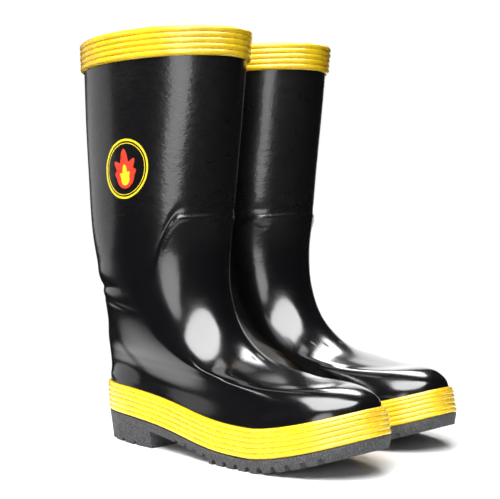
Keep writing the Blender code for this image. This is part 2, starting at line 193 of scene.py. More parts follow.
COUNTER_STEP = 0.7
COUNTER_BLUR = 3.5
CREASE_ANGLE = 85.0             # walking crease beside the ball of the foot
CREASE_DEPTH = 0.7
WAVE_LEG = 0.30                 # hand-made unevenness
WAVE_FOOT = 0.20

# Camera and studio. Azimuths of lights run from +X towards -Y.
CAMERA_AZIMUTH = 42.71
CAMERA_DISTANCE = 1.065
CAMERA_ASIDE = -0.0154
CAMERA_HEIGHT = 0.2095
CAMERA_PITCH = -2.2
CAMERA_LENS = 86.36
CAMERA_SENSOR = 36.0
FLOOR_RADIUS = 0.48
FLOOR_FADE = (0.28, 0.46)       # between these distances the floor melts into the backdrop
LOOK_AT = (0.0, 0.0, 0.17)
SUN_DISTANCE = 2.0
WORLD_CENTRE = (0.0, 0.0, 0.0)


# ---------------------------------------------------------------- the skin

def ramp(x, start, end):
    """Rises from 0 to 1, and may run a little past the end."""
    return np.clip((x - start) / (end - start), 0.0, 1.1)


def smooth(x, start, end):
    t = np.clip((x - start) / (end - start), 0.0, 1.0)
    return t * t * (3.0 - 2.0 * t)


def bell(x, centre, width):
    return np.exp(-((x - centre) / width) ** 2)


def toe_lift(x):
    return TOE_LIFT * ramp(x, *TOE_LIFT_X) ** TOE_LIFT_POWER


def sole_top(x):
    """Height of the outsole's top face."""
    return BALL_TOP + HEEL_RISE * smooth(x, *HEEL_RISE_X) + toe_lift(x)


def section_at(level):
    """Cross-section at any level, by a smooth curve through the listed ones."""
    last = len(SECTIONS) - 1
    i = min(int(level), last - 1)
    t = level - i
    p0, p1, p2, p3 = (SECTIONS[min(max(k, 0), last)] for k in (i - 1, i, i + 1, i + 2))
    slope1 = (p2 - p0) * (0.5 if i > 0 else 1.0)
    slope2 = (p3 - p1) * (0.5 if i + 2 <= last else 1.0)
    return (p1 * (2 * t**3 - 3 * t**2 + 1) + slope1 * (t**3 - 2 * t**2 + t)
            + p2 * (3 * t**2 - 2 * t**3) + slope2 * (t**3 - t**2))


def skin_points(level, angles):
    """Points of the outer face at one level. Angle 0 is the front, 90 degrees the outer side."""
    (front, front_z, back, back_z, mid, outer, inner,
     nose, heel, pinch_outer, pinch_inner, dip) = section_at(level)
    c = np.cos(angles)
    s = np.sin(angles)
    x = np.where(c >= 0.0,
                 mid + (front - mid) * np.abs(c) ** (2.0 / nose),
                 mid - (mid - back) * np.abs(c) ** (2.0 / heel))
    power = 2.0 / (0.5 * (nose + heel) + 0.5 * (nose - heel) * c)
    waist = np.exp(-((x - PINCH_X) / PINCH_LENGTH) ** 2)
    y = np.where(s >= 0.0,
                 outer * np.abs(s) ** power * (1.0 - pinch_outer * waist),
                 -inner * np.abs(s) ** power * (1.0 - pinch_inner * waist))
    y = y - TOE_TURN * np.clip(ramp(x, *TOE_TURN_X), 0.0, 1.0) ** 1.5
    along = (x - back) / (front - back)
    sole_chord = sole_top(back) + (sole_top(front) - sole_top(back)) * along
    z = back_z + (front_z - back_z) * along + dip * (sole_top(x) - sole_chord)
    return np.stack([x, y, z], axis=1)


def layer(level, angles, depth):
    """Points at a depth under the skin, square to it. A negative depth stands proud."""
    step = 0.02
    turn = 0.004
    low = max(level - step, 0.0)
    high = min(level + step, LEVEL_RIM)
    here = skin_points(level, angles)
    up = skin_points(high, angles) - skin_points(low, angles)
    around = skin_points(level, angles + turn) - skin_points(level, angles - turn)
    normal = np.cross(around, up)
    normal /= np.linalg.norm(normal, axis=1)[:, None]
    return here - np.reshape(depth, (-1, 1)) * normal


ANGLES = np.arange(AROUND) * 2.0 * math.pi / AROUND


def turned(angles):
    """Angles in degrees from -180 to 180."""
    return (np.degrees(angles) + 180.0) % 360.0 - 180.0


def edge_level(degrees):
    """Level of the edge of the thicker rubber."""
    away = np.abs(degrees)
    drop = np.where(degrees > 0.0, smooth(away, *EDGE_TURN_OUTER), smooth(away, *EDGE_TURN_INNER))
    rise = smooth(away, *EDGE_RISE)
    return EDGE_FRONT + (EDGE_SIDE - EDGE_FRONT) * drop + (EDGE_BACK - EDGE_SIDE) * rise


def unevenness(level, degrees):
    """Slow waves of a hand-laid sheet, the same each time."""
    a = np.radians(degrees)
    waves = (np.sin(3.0 * a + 1.1 * level) + np.sin(5.0 * a - 2.3 * level + 0.7)
             + np.sin(2.0 * a + 4.1 * level + 2.0) + 0.6 * np.sin(9.0 * a + 3.2 * level + 4.0)) / 3.6
    size = WAVE_FOOT + (WAVE_LEG - WAVE_FOOT) * smooth(level, 7.0, 9.0)
    return waves * size * smooth(level, 1.0, 2.2) * (1.0 - smooth(level, 11.2, 11.6))


def relief(level, angles):
    """How far the rubber stands out from the plain skin."""
    degrees = turned(angles)
    away = np.abs(degrees)
    below = edge_level(degrees) - level
    step = EDGE_STEP + EDGE_STEP_FRONT * bell(degrees, 0.0, EDGE_FRONT_WIDTH)
    softness = EDGE_SHARP + (EDGE_SOFT - EDGE_SHARP) * smooth(away, *EDGE_SOFTENS)
    height = step * smooth(below, -softness, softness)
    height *= np.exp(-np.maximum(below, 0.0) / EDGE_FADE)

    fold = bell(degrees, FOLD_ANGLE, FOLD_WIDTH) + 0.5 * bell(degrees, -FOLD_ANGLE, FOLD_WIDTH)
    height += FOLD_HEIGHT * fold * (bell(below, 0.02, 0.075) - 0.7 * bell(below, -0.17, 0.10))
    height -= 0.5 * bell(degrees, -39.0, 5.0) * bell(level, 8.68, 0.07)

    at_back = smooth(away, *KINK_STARTS)
    height -= KINK_DEPTH * at_back * bell(level, KINK_LEVEL, 0.13)
    height += KINK_ROLL * at_back * bell(level, KINK_LEVEL + 0.42, 0.25)
    height -= 0.45 * smooth(away, 84.0, 112.0) * bell(level, 6.55 + 0.006 * (away - 90.0), 0.12)

    counter = smooth(away, COUNTER_ANGLE - COUNTER_BLUR, COUNTER_ANGLE + COUNTER_BLUR)
    height += COUNTER_STEP * counter * smooth(level, 1.0, 1.6) * (1.0 - smooth(level, 4.9, 5.9))

    for k, depth in ((0.0, 1.0), (7.0, 0.55)):
        across = away - (CREASE_ANGLE + k) + 7.0 * (level - 1.3)
        height -= CREASE_DEPTH * depth * bell(across, 0.0, 1.6) * bell(level, 1.5, 0.75)
    return height + unevenness(level, degrees)


def outer_face(level, angles, proud=0.0):
    return layer(level, angles, -(relief(level, angles) + proud))


# ---------------------------------------------------------------- meshes

class Boot:
    """Where one boot stands: side is +1 for the left boot and -1 for the right one."""

    def __init__(self, name, side):
        mounts = {mount["name"]: mount for mount in frame["record"]["mounts"]}
        x, y, _ = mounts[f"{name}_heel_rest"]["pos_m"]
        self.name = name
        self.side = side
        self.origin = np.array([x - HEEL_REST_X * MM, y, 0.0])

    def node(self, label):
        return f"{self.name}_{label}"

    def world(self, points):
        placed = np.asarray(points, float) * MM
        placed[:, 1] *= self.side
        return placed + self.origin

    def mesh(self, label, points, faces, materials, picks=None, sharp=40.0):
        mesh = bpy.data.meshes.new(self.node(label))
        mesh.from_pydata(self.world(points).tolist(), [], faces)
        for item in materials:
            mesh.materials.append(item)
        if picks is not None:
            mesh.polygons.foreach_set("material_index", picks)
        bm = bmesh.new()
        bm.from_mesh(mesh)
        bmesh.ops.recalc_face_normals(bm, faces=bm.faces)
        bm.to_mesh(mesh)
        bm.free()
        mesh.shade_smooth()
        mesh.set_sharp_from_angle(angle=math.radians(sharp))
        item = bpy.data.objects.new(self.node(label), mesh)
        bpy.context.scene.collection.objects.link(item)
        return item


def ring_faces(rows, around=AROUND, closed_section=True):
    """Quads between neighbouring rows of points that each go once around."""
    faces = []
    for i in range(rows if closed_section else rows - 1):
        k = (i + 1) % rows
        for j in range(around):
            n = (j + 1) % around
            faces.append((i * around + j, i * around + n, k * around + n, k * around + j))
    return faces


def add_shell(boot, label, outside, inside, material, sharp=40.0):
    """A closed sheet between rows of outer points and rows of inner points."""
    rows = [*outside, *reversed(inside)]
    return boot.mesh(label, np.concatenate(rows), ring_faces(len(rows)), [material], sharp=sharp)


def foot_to_leg(level, foot, leg):
    return foot + (leg - foot) * float(smooth(level, *DEPTH_CHANGE))


def bend_at_ankle(boot, item):
    x, y, _ = boot.world(np.array([[FLEX_X, 0.0, 0.0]]))[0]
    boot.node("foot")
    boot.node("shaft")
    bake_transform(item)


def upper_levels():
    """Levels of the outer face: closest together where the edge of the thicker rubber runs."""
    return np.concatenate([np.arange(0.0, 1.0, 0.25), np.arange(1.0, 2.4, 0.07),
                           np.arange(2.4, 6.4, 0.1), np.arange(6.4, 9.2, 0.025),
                           np.arange(9.2, LEVEL_LEG_TOP, 0.075), [LEVEL_LEG_TOP]])


def add_upper(boot, material):
    outside = [outer_face(level, ANGLES) for level in upper_levels()]
    inner_levels = np.linspace(0.0, LEVEL_LEG_TOP, 60)
    inside = [layer(level, ANGLES, foot_to_leg(level, RUBBER_FOOT, RUBBER_LEG))
              for level in inner_levels]
    upper = add_shell(boot, "upper", outside, inside, material)
    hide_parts(*(boot.node(part) for part in ("vamp_upper", "ankle_upper", "shaft_upper")))
    bend_at_ankle(boot, upper)


def add_lining(boot, material):
    levels = np.linspace(LEVEL_LINING_BOTTOM, LEVEL_LEG_TOP, 90)
    depths = [foot_to_leg(level, DEPTH_LINING_FOOT, DEPTH_LINING_LEG) for level in levels]
    outside = [layer(level, ANGLES, depth) for level, depth in zip(levels, depths)]
    inside = [layer(level, ANGLES, depth + LINING) for level, depth in zip(levels, depths)]
    lining = add_shell(boot, "lining", outside, inside, material)
    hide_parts(*(boot.node(f"lining_{part}") for part in ("foot", "ankle", "shaft")))
    bend_at_ankle(boot, lining)


def rib_rows(bottom, top, count, groove, crest, samples=8):
    """Levels and heights of rounded ribs, one over another, with narrow grooves between them."""
    rows = []
    for i in range(count):
        for k in range(samples + 1):
            if k == samples and i < count - 1:
                continue
            across = k / samples
            height = groove + (crest - groove) * math.sqrt(max(1.0 - (2.0 * across - 1.0) ** 2, 0.0))
            rows.append((bottom + (top - bottom) * (i + across) / count, height, i))
    return rows


def rib_wobble(rib):
    """Each rib is a little fuller here and thinner there."""
    return RIB_WOBBLE * (np.sin(4.0 * ANGLES + 1.7 * rib) + 0.6 * np.sin(11.0 * ANGLES + 2.9 * rib)
                         + 0.4 * np.sin(23.0 * ANGLES + 0.8 * rib)) / 2.0


def add_foxing(boot, material):
    rows = [layer(FOXING_BOTTOM, ANGLES, -GAP),
            layer(FOXING_BOTTOM, ANGLES, -EDGE_TUCK * FOXING_GROOVE)]
    for level, height, rib in rib_rows(FOXING_RIBS_BOTTOM, FOXING_TOP, FOXING_RIBS,
                                       FOXING_GROOVE, FOXING_CREST):
        lean = 1.0 - FOXING_LEAN * float(smooth(level, FOXING_LEAN_FROM, FOXING_TOP))
        proud = (height + rib_wobble(rib) * (height - FOXING_GROOVE)) * lean
        rows.append(layer(level, ANGLES, -proud))
    rows += [layer(FOXING_TOP, ANGLES, -FOXING_LIP), layer(FOXING_TOP, ANGLES, -GAP),
             layer(FOXING_INNER_BOTTOM, ANGLES, -GAP)]
    foxing = boot.mesh("foxing", np.concatenate(rows), ring_faces(len(rows)), [material], sharp=50.0)
    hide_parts(boot.node("foxing_band"))
    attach(foxing, boot.node("foot"))


def add_rim(boot, material):
    rows = [layer(LEVEL_BAND_BOTTOM, ANGLES, -GAP),
            layer(LEVEL_BAND_BOTTOM, ANGLES, -EDGE_TUCK * BAND_GROOVE)]
    for level, height, rib in rib_rows(LEVEL_BAND_BOTTOM + BAND_GAP, LEVEL_RIM - BAND_ROLL, BAND_RIBS,
                                       BAND_GROOVE, BAND_CREST):
        proud = height + rib_wobble(rib) * (height - BAND_GROOVE)
        rows.append(layer(level, ANGLES, -proud))
    inside = DEPTH_LINING_LEG + LINING
    lip = LEVEL_LEG_TOP + BAND_GAP
    middle = 0.5 * (inside - BAND_LIP)
    reach = 0.5 * (inside + BAND_LIP)
    for turn in np.linspace(0.0, math.pi, 9):
        rows.append(layer(LEVEL_RIM - BAND_ROLL + BAND_ROLL * math.sin(turn), ANGLES,
                          middle - reach * math.cos(turn)))
    rows += [layer(lip, ANGLES, inside), layer(lip, ANGLES, -GAP)]
    rim = boot.mesh("top_rim", np.concatenate(rows), ring_faces(len(rows)), [material], sharp=50.0)
    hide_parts(boot.node("top_band"))
    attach(rim, boot.node("shaft"))


# ---------------------------------------------------------------- sole

def plate_faces(count):
    """Faces of a plate between a bottom outline and a top outline, filled from side to side."""
    faces = ring_faces(2, count, closed_section=False)
    for base in (0, count):
        faces.append((base, base + 1, base + count - 1))
        for j in range(1, count // 2 - 1):
            faces.append((base + j, base + j + 1, base + count - j - 1, base + count - j))
        middle = base + count // 2
        faces.append((middle - 1, middle, middle + 1))
    return faces


def bar(x, z, slope, depth):
    """A bar across the sole, wider below, that cuts one groove of the tread."""
    top = 0.5 * (LUG_GROOVE - LUG_FLARE)
    low = 0.5 * (LUG_GROOVE + 3.0 * LUG_FLARE)
    section = [(-low, CUTTER_BOTTOM), (low, CUTTER_BOTTOM), (top, depth), (-top, depth)]
    points = []
    for y in (-CUTTER_REACH, CUTTER_REACH):
        for u, v in section:
            points.append((x + u * math.cos(slope) - v * math.sin(slope), y,
                           z + u * math.sin(slope) + v * math.cos(slope)))
    return points


def waist_roof(x):
    return sole_top(x) - WAIST_THICKNESS


def tread_bars():
    bars = []
    for i in range(LUG_COUNT):
        x = LUG_FIRST_X + i * LUG_PITCH
        slope = math.atan2(toe_lift(x + 1.0) - toe_lift(x - 1.0), 2.0)
        bars.append(bar(x, toe_lift(x), slope, LUG_DEPTH))
    for i in range(1, ARCH_LUG_COUNT + 1):
        x = LUG_FIRST_X - i * LUG_PITCH
        slope = math.atan2(waist_roof(x + 1.0) - waist_roof(x - 1.0), 2.0)
        bars.append(bar(x, max(waist_roof(x), 0.0), slope, ARCH_LUG_DEPTH))
    for x in HEEL_GROOVES_X:
        bars.append(bar(x, 0.0, 0.0, HEEL_GROOVE_DEPTH))
    points = [point for item in bars for point in item]
    faces = []
    for k in range(len(bars)):
        b = 8 * k
        faces += [(b, b + 3, b + 2, b + 1), (b + 4, b + 5, b + 6, b + 7)]
        faces += [(b + i, b + (i + 1) % 4, b + 4 + (i + 1) % 4, b + 4 + i) for i in range(4)]
    return points, faces


def waist_space():
    """The space under the arch."""
    stations = np.linspace(HEEL_BREAST_X, WAIST_END_X, 25)
    profile = [(stations[0], CUTTER_BOTTOM)]
    profile += [(x, max(waist_roof(x), 0.0)) for x in stations]
    profile.append((stations[-1], CUTTER_BOTTOM))
    count = len(profile)
    points = [(x, y, z) for y in (-CUTTER_REACH, CUTTER_REACH) for x, z in profile]
    faces = [tuple(range(count)), tuple(range(2 * count - 1, count - 1, -1))]
    faces += [(i, i + count, (i + 1) % count + count, (i + 1) % count) for i in range(count)]
    return points, faces


def settle(item):
    """Keeps the result of an object's modifiers as its mesh."""
    graph = bpy.context.evaluated_depsgraph_get()
    mesh = bpy.data.meshes.new_from_object(item.evaluated_get(graph))
    item.modifiers.clear()
    item.data = mesh


def add_outsole(boot, material):
    top = layer(0.0, ANGLES, -SOLE_MARGIN)
    top[:, 2] = sole_top(top[:, 0]) + SOLE_RAISE
    bottom_z = toe_lift(top[:, 0])
    inset = SOLE_TAPER * (top[:, 2] - bottom_z)
    centre = np.stack([np.clip(top[:, 0], 60.0, 240.0), np.zeros(AROUND), top[:, 2]], axis=1)
    inwards = centre - top
    inwards /= np.linalg.norm(inwards, axis=1)[:, None]
    bottom = top + inwards * inset[:, None]
    bottom[:, 2] = bottom_z
    sole = boot.mesh("sole", np.concatenate([bottom, top]), plate_faces(AROUND), [material])
    cutters = [boot.mesh("waist_space", *waist_space(), [material]),
               boot.mesh("tread_bars", *tread_bars(), [material])]
    for cutter in cutters:
        cut = sole.modifiers.new(cutter.name, "BOOLEAN")
        cut.operation = "DIFFERENCE"
        cut.solver = "EXACT"
        cut.object = cutter
    rounding = sole.modifiers.new("rounded_edges", "BEVEL")
    rounding.width = SOLE_EDGE * MM
    rounding.segments = 2
    rounding.limit_method = "ANGLE"
    rounding.angle_limit = math.radians(SOLE_SHARP_ANGLE)
    settle(sole)
    sole.data.shade_smooth()
    sole.data.set_sharp_from_angle(angle=math.radians(SOLE_SHARP_ANGLE))
    for cutter in cutters:
        bpy.data.objects.remove(cutter)
    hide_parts(boot.node("outsole"))
    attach(sole, boot.node("foot"))


def footbed_faces(rows, wide):
    """Faces of a slab: a grid on top, one below it, and the edge between them."""
    below = rows * wide
    faces = []
    for base in (0, below):
        for i in range(rows - 1):
            for k in range(wide - 1):
                a = base + i * wide + k
                faces.append((a, a + 1, a + wide + 1, a + wide))
    edge = (list(range(wide)) + [i * wide + wide - 1 for i in range(1, rows)]
            + [(rows - 1) * wide + k for k in range(wide - 2, -1, -1)]
            + [i * wide for i in range(rows - 2, 0, -1)])
    for a, b in zip(edge, edge[1:] + edge[:1]):
        faces.append((a, b, b + below, a + below))
    return faces


def add_footbed(boot, material):
    """A cloth-covered insole with a cupped heel."""
    outline = layer(FOOTBED_LEVEL, ANGLES, DEPTH_LINING_FOOT + LINING + GAP)
    across = np.linspace(0.0, 1.0, 25)
    rim = (2.0 * across - 1.0) ** 4
    top = []
    low = []
    for j in range(1, AROUND // 2):
        left = outline[j]
        right = outline[AROUND - j]
        row = left + (right - left) * across[:, None]
        height = sole_top(row[:, 0]) + FOOTBED_BOTTOM
        at_heel = 1.0 - smooth(row[:, 0], *FOOTBED_CUP_X)
        cup = FOOTBED_CUP * rim * at_heel - FOOTBED_ROUNDING * rim**6
        top.append(np.column_stack([row[:, :2], height + FOOTBED + cup]))
        low.append(np.column_stack([row[:, :2], height]))
    faces = footbed_faces(len(top), len(across))
    bed = boot.mesh("insole", np.concatenate(top + low), faces, [material])
    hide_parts(boot.node("footbed"))
    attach(bed, boot.node("foot"))


# ---------------------------------------------------------------- badge

def print_point(u, v, proud):
    """A point of the badge: u towards the front and v up, from the badge's centre."""
    level = BADGE_LEVEL + v / BADGE_MM_PER_LEVEL
    angle = np.array([BADGE_ANGLE - u / BADGE_MM_PER_RADIAN])
    return outer_face(level, angle, proud)[0]


def flame_outline(body, tongues):
    """Distance of a plain flame's outline from its middle, at any angle.

    Each tongue is its length, its direction and its width, the last two in degrees.
    """
    def reach(theta):
        degrees = math.degrees(theta) % 360.0
        distance = body
        for length, direction, width in tongues:
            distance = distance + length * bell(degrees, direction, width)
        return distance
    return reach


FLAME = flame_outline(9.6, ((12.2, 95.0, 15.0), (7.0, 55.0, 12.0), (7.6, 134.0, 12.0),
                            (2.6, 20.0, 12.0), (2.6, 166.0, 12.0)))
SMALL_FLAME = flame_outline(4.6, ((7.4, 95.0, 18.0), (3.0, 52.0, 14.0), (3.2, 138.0, 14.0)))


def patch(outline, centre, proud, spokes=72, rings=7):
    """A printed patch with a star-shaped outline: its rings of points and faces."""
    points = []
    for k in range(rings, 0, -1):
        for i in range(spokes):
            theta = 2.0 * math.pi * i / spokes
            reach = outline(theta) * k / rings
            points.append(print_point(centre[0] + reach * math.cos(theta),
                                      centre[1] + reach * math.sin(theta), proud))
    points.append(print_point(*centre, proud))
    skirt = []
    for i in range(spokes):
        theta = 2.0 * math.pi * i / spokes
        skirt.append(print_point(centre[0] + outline(theta) * math.cos(theta),
                                 centre[1] + outline(theta) * math.sin(theta), PRINT_LOW))
    low_centre = print_point(*centre, PRINT_LOW)
    faces = ring_faces(rings, spokes, closed_section=False)
    middle = rings * spokes
    first_low = middle + 1
    for i in range(spokes):
        k = (i + 1) % spokes
        faces.append(((rings - 1) * spokes + i, (rings - 1) * spokes + k, middle))
        faces.append((i, k, first_low + k, first_low + i))
        faces.append((first_low + i, first_low + k, first_low + spokes))
    return points + skirt + [low_centre], faces


def ring_patch(radius, width, proud, spokes=120):
    points = []
    for reach, height in ((radius, PRINT_LOW), (radius, proud), (radius - width, proud),
                          (radius - width, PRINT_LOW)):
        for i in range(spokes):
            theta = 2.0 * math.pi * i / spokes
            points.append(print_point(reach * math.cos(theta), reach * math.sin(theta), height))
    return points, ring_faces(4, spokes)


def add_badge(boot, yellow, red):
    shapes = ((ring_patch(RING_RADIUS, RING_WIDTH, PRINT_HIGH), 0),
              (ring_patch(RING_RADIUS - INNER_RING_GAP, INNER_RING_WIDTH, PRINT_HIGH), 0),
              (patch(FLAME, FLAME_CENTRE, PRINT_HIGH), 1),
              (patch(SMALL_FLAME, SMALL_FLAME_CENTRE, PRINT_HIGH + PRINT_SECOND), 0))
    points = []
    faces = []
    picks = []
    for (shape_points, shape_faces), pick in shapes:
        base = len(points)
        points += shape_points
        faces += [tuple(base + i for i in face) for face in shape_faces]
        picks += [pick] * len(shape_faces)
    badge = boot.mesh("flame_badge", np.array(points), faces, [yellow, red], picks)
    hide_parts(boot.node("badge"))
    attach(badge, boot.node("shaft"))


# ---------------------------------------------------------------- materials

class Paint:
    """A node material under construction."""

    def __init__(self, name, **constants):
        self.material = bpy.data.materials.new(name)
        self.material.use_nodes = True
        self.tree = self.material.node_tree
        self.shader = self.tree.nodes["Principled BSDF"]
        for socket, value in constants.items():
            self.shader.inputs[socket.replace("_", " ")].default_value = value
        self.normal = None

    def link(self, source, target):
        self.tree.links.new(source, target)

    def place(self, stretch=(1.0, 1.0, 1.0)):
        """Object coordinates in metres, stretched along an axis where the pattern runs that way."""
        where = self.tree.nodes.new("ShaderNodeTexCoord").outputs["Object"]
        mapping = self.tree.nodes.new("ShaderNodeMapping")
        mapping.inputs["Scale"].default_value = stretch
        self.link(where, mapping.inputs["Vector"])
        return mapping.outputs["Vector"]

    def noise(self, per_metre, detail=3.0, roughness=0.55, stretch=(1.0, 1.0, 1.0)):
        node = self.tree.nodes.new("ShaderNodeTexNoise")
        node.inputs["Scale"].default_value = per_metre
        node.inputs["Detail"].default_value = detail
        node.inputs["Roughness"].default_value = roughness
        self.link(self.place(stretch), node.inputs["Vector"])
        return node.outputs["Fac"]

    def cells(self, per_metre, stretch=(1.0, 1.0, 1.0)):
        node = self.tree.nodes.new("ShaderNodeTexVoronoi")
        node.inputs["Scale"].default_value = per_metre
        self.link(self.place(stretch), node.inputs["Vector"])
        return node.outputs["Distance"]

    def lines(self, per_metre, direction="Z", distortion=0.0):
        node = self.tree.nodes.new("ShaderNodeTexWave")
        node.bands_direction = direction
        node.inputs["Scale"].default_value = per_metre
        node.inputs["Distortion"].default_value = distortion
        node.inputs["Detail"].default_value = 1.0
        self.link(self.place(), node.inputs["Vector"])
        return node.outputs["Fac"]

    def remap(self, value, start, end, low, high):
        node = self.tree.nodes.new("ShaderNodeMapRange")
        for socket, number in zip(("From Min", "From Max", "To Min", "To Max"),
                                  (start, end, low, high)):
            node.inputs[socket].default_value = number
        self.link(value, node.inputs["Value"])
        return node.outputs["Result"]

    def maths(self, operation, first, second):
        node = self.tree.nodes.new("ShaderNodeMath")
        node.operation = operation
        for socket, value in zip(node.inputs, (first, second)):
            if isinstance(value, float):
                socket.default_value = value
            else:
                self.link(value, socket)
        return node.outputs["Value"]

    def height(self):
        """Height over the floor, in metres."""
        node = self.tree.nodes.new("ShaderNodeSeparateXYZ")
        self.link(self.place(), node.inputs["Vector"])
        return node.outputs["Z"]

    def colour(self, value, dark, light):
        node = self.tree.nodes.new("ShaderNodeMix")
        node.data_type = "RGBA"
        sockets = [s for s in node.inputs if s.type == "RGBA"]
        sockets[0].default_value = (*dark, 1.0)
        sockets[1].default_value = (*light, 1.0)
        self.link(value, node.inputs["Factor"])
        self.link(next(s for s in node.outputs if s.type == "RGBA"),
                  self.shader.inputs["Base Color"])

    def roughness(self, value):
        self.link(value, self.shader.inputs["Roughness"])

    def bump(self, value, millimetres, strength=1.0):
        node = self.tree.nodes.new("ShaderNodeBump")
        node.inputs["Distance"].default_value = millimetres * MM
        if isinstance(strength, float):
            node.inputs["Strength"].default_value = strength
        else:
            self.link(strength, node.inputs["Strength"])
        self.link(value, node.inputs["Height"])
        if self.normal is not None:
            self.link(self.normal, node.inputs["Normal"])
        self.normal = node.outputs["Normal"]
        self.link(self.normal, self.shader.inputs["Normal"])
        coat = self.shader.inputs.get("Coat Normal")
        if coat is not None and self.shader.inputs["Coat Weight"].default_value > 0.0:
            self.link(self.normal, coat)


def black_rubber():
    """Lacquered rubber: orange peel on the leg, smoother over the foot, with faint dust."""
    paint = Paint("black_rubber_lacquered", Coat_Weight=0.4, Coat_Roughness=0.12)
    on_leg = paint.remap(paint.height(), 0.12, 0.22, 0.15, 1.0)
    dust = paint.noise(900.0, detail=2.0)
    paint.colour(paint.remap(dust, 0.55, 0.78, 0.0, 1.0), (0.003, 0.003, 0.0036),
                 (0.009, 0.009, 0.010))
    mottle = paint.noise(95.0, detail=4.0, stretch=(1.0, 1.0, 1.8))
    leg_matte = paint.maths("MULTIPLY", on_leg, 0.14)
    paint.roughness(paint.maths("ADD", leg_matte, paint.remap(mottle, 0.3, 0.7, 0.13, 0.17)))
    paint.bump(paint.noise(85.0, detail=2.0, stretch=(1.0, 1.0, 1.8)), 0.24, on_leg)
    paint.bump(paint.noise(420.0, detail=2.0, stretch=(1.0, 1.0, 1.5)), 0.09, on_leg)
    paint.bump(paint.noise(1500.0, detail=1.0), 0.008, 0.5)
    return paint.material


def yellow_rubber():
    """Glossy yellow rubber with a little unevenness in its colour, and dull scuffs."""
    paint = Paint("yellow_rubber_ribbed", Coat_Weight=0.5, Coat_Roughness=0.1)
    tone = paint.noise(45.0, detail=5.0)
    paint.colour(paint.remap(tone, 0.3, 0.7, 0.0, 1.0), (0.84, 0.50, 0.008), (0.94, 0.66, 0.012))
    scuff = paint.noise(260.0, detail=5.0, stretch=(1.0, 1.0, 3.0))
    paint.roughness(paint.remap(scuff, 0.35, 0.75, 0.2, 0.42))
    paint.bump(paint.noise(140.0, detail=3.0, stretch=(1.0, 1.0, 2.0)), 0.12, 0.8)
    paint.bump(paint.noise(1300.0, detail=2.0), 0.02, 0.6)
    return paint.material


def sole_rubber():
    """Matt moulded rubber, finely pebbled, with pale specks of dust."""
    paint = Paint("sole_rubber_moulded", Specular_IOR_Level=0.35)
    speck = paint.noise(1100.0, detail=3.0, roughness=0.7)
    paint.colour(paint.remap(speck, 0.48, 0.72, 0.0, 1.0), (0.028, 0.029, 0.031),
                 (0.17, 0.17, 0.18))
    paint.roughness(paint.remap(paint.noise(240.0), 0.3, 0.7, 0.55, 0.85))
    paint.bump(speck, 0.10, 0.8)
    paint.bump(paint.noise(180.0, detail=4.0), 0.15, 0.5)
    return paint.material


def knitted_lining():
    paint = Paint("lining_knit", Sheen_Weight=0.25, Specular_IOR_Level=0.25)
    rows = paint.lines(210.0, "Z", distortion=1.5)
    stitches = paint.cells(620.0, stretch=(1.0, 1.0, 0.7))
    fuzz = paint.noise(300.0, detail=5.0)
    paint.colour(paint.maths("MULTIPLY", paint.remap(stitches, 0.0, 0.7, 0.35, 1.0), fuzz),
                 (0.42, 0.40, 0.35), (0.74, 0.71, 0.64))
    paint.roughness(paint.remap(fuzz, 0.3, 0.7, 0.8, 0.97))
    paint.bump(rows, 0.25, 0.7)
    paint.bump(stitches, 0.3, 0.7)
    return paint.material


def footbed_cloth():
    paint = Paint("footbed_cloth", Sheen_Weight=0.2, Specular_IOR_Level=0.25)
    weave = paint.maths("MULTIPLY", paint.lines(330.0, "X"), paint.lines(330.0, "Y"))
    tone = paint.noise(120.0, detail=5.0)
    paint.colour(paint.maths("MULTIPLY", paint.remap(weave, 0.0, 1.0, 0.4, 1.0), tone),
                 (0.05, 0.055, 0.065), (0.24, 0.26, 0.30))
    paint.roughness(paint.remap(tone, 0.3, 0.7, 0.8, 0.95))
    paint.bump(weave, 0.2, 0.8)
    return paint.material


def canvas_ply():
    paint = Paint("ply_canvas_rubberised", Specular_IOR_Level=0.3)
    weave = paint.maths("MULTIPLY", paint.lines(260.0, "X"), paint.lines(260.0, "Z"))
    tone = paint.noise(90.0, detail=4.0)
    paint.colour(paint.maths("MULTIPLY", weave, tone), (0.14, 0.13, 0.11), (0.40, 0.37, 0.31))
    paint.roughness(paint.remap(tone, 0.3, 0.7, 0.7, 0.9))
    paint.bump(weave, 0.2, 0.8)
    return paint.material


def rolled_steel():
    paint = Paint("steel_cold_rolled", Metallic=1.0)
    grain = paint.noise(160.0, detail=5.0, stretch=(0.1, 1.0, 1.0))
    paint.colour(paint.remap(grain, 0.3, 0.7, 0.0, 1.0), (0.50, 0.51, 0.53), (0.66, 0.67, 0.69))
    paint.roughness(paint.remap(grain, 0.3, 0.7, 0.22, 0.42))
    paint.bump(grain, 0.02, 0.6)
    return paint.material


def fibre_board():
    paint = Paint("fibre_board_pressed", Specular_IOR_Level=0.3)
    fibres = paint.noise(420.0, detail=6.0, roughness=0.7, stretch=(0.3, 1.0, 1.0))
    paint.colour(paint.remap(fibres, 0.3, 0.7, 0.0, 1.0), (0.30, 0.21, 0.12), (0.52, 0.39, 0.24))
    paint.roughness(paint.remap(fibres, 0.3, 0.7, 0.7, 0.92))
    paint.bump(fibres, 0.1, 0.8)
    return paint.material


def sponge():
    paint = Paint("sponge_rubber", Specular_IOR_Level=0.25)
    pores = paint.cells(900.0)
    paint.colour(paint.remap(pores, 0.05, 0.5, 0.0, 1.0), (0.03, 0.03, 0.033), (0.15, 0.15, 0.16))
    paint.roughness(paint.remap(paint.noise(200.0), 0.3, 0.7, 0.8, 0.98))
    paint.bump(pores, 0.3, 0.9)
    return paint.material


